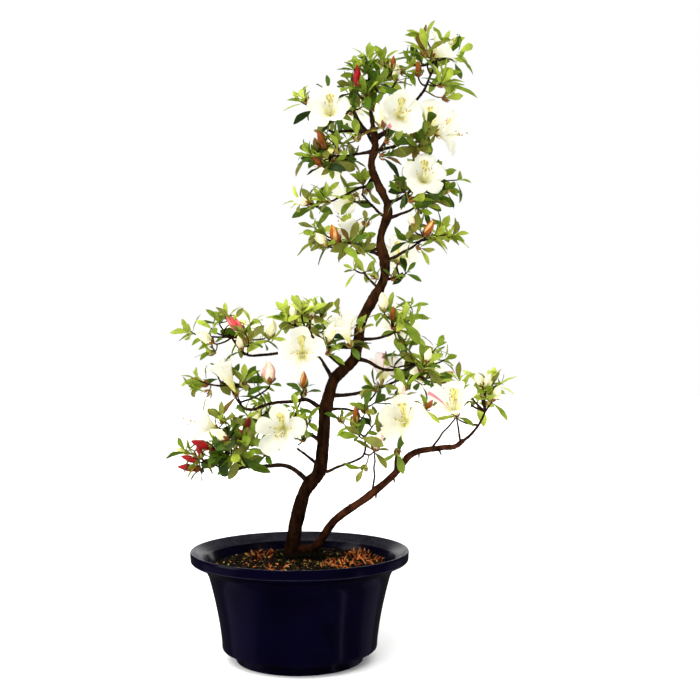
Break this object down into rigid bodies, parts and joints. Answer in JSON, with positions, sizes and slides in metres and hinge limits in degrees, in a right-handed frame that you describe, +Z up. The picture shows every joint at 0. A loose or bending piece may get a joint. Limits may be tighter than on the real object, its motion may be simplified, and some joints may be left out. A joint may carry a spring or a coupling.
{
  "type": "azalea bonsai",
  "caption": "Flowering azalea bonsai with a winding trunk, a second stem to the right, open leafy masses and white flowers, in a round dark pot with a wide lip.",
  "frame": {"origin": "middle of the pot's flat underside", "axes": "+Z up, +X to the right of the front view and -Y towards the viewer"},
  "size_m": [0.3352, 0.218, 0.6383],
  "materials": {
    "pot_plastic": "gloss, dark navy",
    "soil": "granular, matte",
    "bark": "rough brown bark",
    "foliage": "satin green leaves with white flowers"
  },
  "bodies": {
    "root": {"pot": "pot_plastic", "soil": "soil", "trunk": "bark", "second_stem": "bark", "low_left_bough": "bark", "left_front_bough": "bark", "mid_left_bough": "bark", "upper_left_bough": "bark", "tier_top_bough": "bark", "low_right_bough": "bark", "mid_right_bough": "bark", "right_mid_bough": "bark", "right_top_bough": "bark", "crown_left_low_bough": "bark", "crown_left_mid_bough": "bark", "crown_left_upper_bough": "bark", "crown_top_left_bough": "bark", "apex_bough": "bark", "crown_right_upper_bough": "bark", "crown_right_mid_bough": "bark", "crown_right_low_bough": "bark", "rear_low_bough": "bark", "rear_tier_bough": "bark", "rear_right_bough": "bark", "rear_crown_low_bough": "bark", "rear_crown_right_bough": "bark", "rear_crown_top_bough": "bark", "low_left_mass": "foliage", "left_front_mass": "foliage", "mid_left_mass": "foliage", "upper_left_mass": "foliage", "tier_top_mass": "foliage", "front_centre_mass": "foliage", "low_right_mass": "foliage", "right_bloom_mass": "foliage", "right_tip_mass": "foliage", "right_mid_mass": "foliage", "right_top_mass": "foliage", "mid_right_mass": "foliage", "waist_left_mass": "foliage", "waist_right_mass": "foliage", "crown_left_low_mass": "foliage", "crown_inner_mass": "foliage", "crown_left_mid_mass": "foliage", "crown_left_upper_mass": "foliage", "crown_top_left_mass": "foliage", "crown_top_mass": "foliage", "crown_front_mass": "foliage", "apex_mass": "foliage", "crown_right_upper_mass": "foliage", "crown_right_mid_mass": "foliage", "crown_right_low_mass": "foliage", "rear_low_mass": "foliage", "rear_tier_mass": "foliage", "rear_right_mass": "foliage", "rear_crown_low_mass": "foliage", "rear_crown_right_mass": "foliage", "rear_crown_top_mass": "foliage"}
  },
  "joints": []
}
